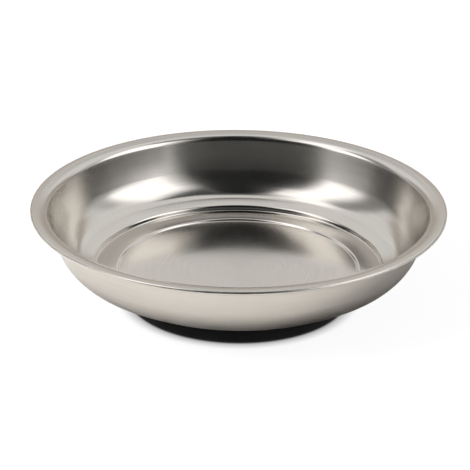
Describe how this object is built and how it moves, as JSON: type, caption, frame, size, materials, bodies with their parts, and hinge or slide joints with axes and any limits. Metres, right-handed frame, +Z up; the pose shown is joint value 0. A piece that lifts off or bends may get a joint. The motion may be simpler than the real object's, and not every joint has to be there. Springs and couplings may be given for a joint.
{
  "type": "magnetic parts tray",
  "caption": "Round stainless parts tray with a rolled rim and stepped floor on a rubber-booted ring magnet, to hold loose steel fasteners while working.",
  "frame": {"origin": "middle of the flat face that the tray stands on, on the bowl's axis", "axes": "+Z up along the bowl's axis, out of the open side; X and Y are any pair across it, since the tray is round"},
  "size_m": [0.15, 0.15, 0.036],
  "materials": {
    "stainless_sheet": "satin polished stainless steel",
    "stud_steel": "plain stainless steel",
    "foam": "matt closed-cell foam",
    "ferrite": "ground grey-black ferrite",
    "boot_rubber": "satin moulded black rubber",
    "zinc_steel": "bright zinc plate"
  },
  "bodies": {
    "root": {"bowl": "stainless_sheet", "weld_stud": "stud_steel", "magnet_pad": "foam", "ring_magnet": "ferrite", "rubber_boot": "boot_rubber", "flat_washer": "zinc_steel", "spring_washer": "zinc_steel", "lock_nut": "zinc_steel"}
  },
  "joints": []
}
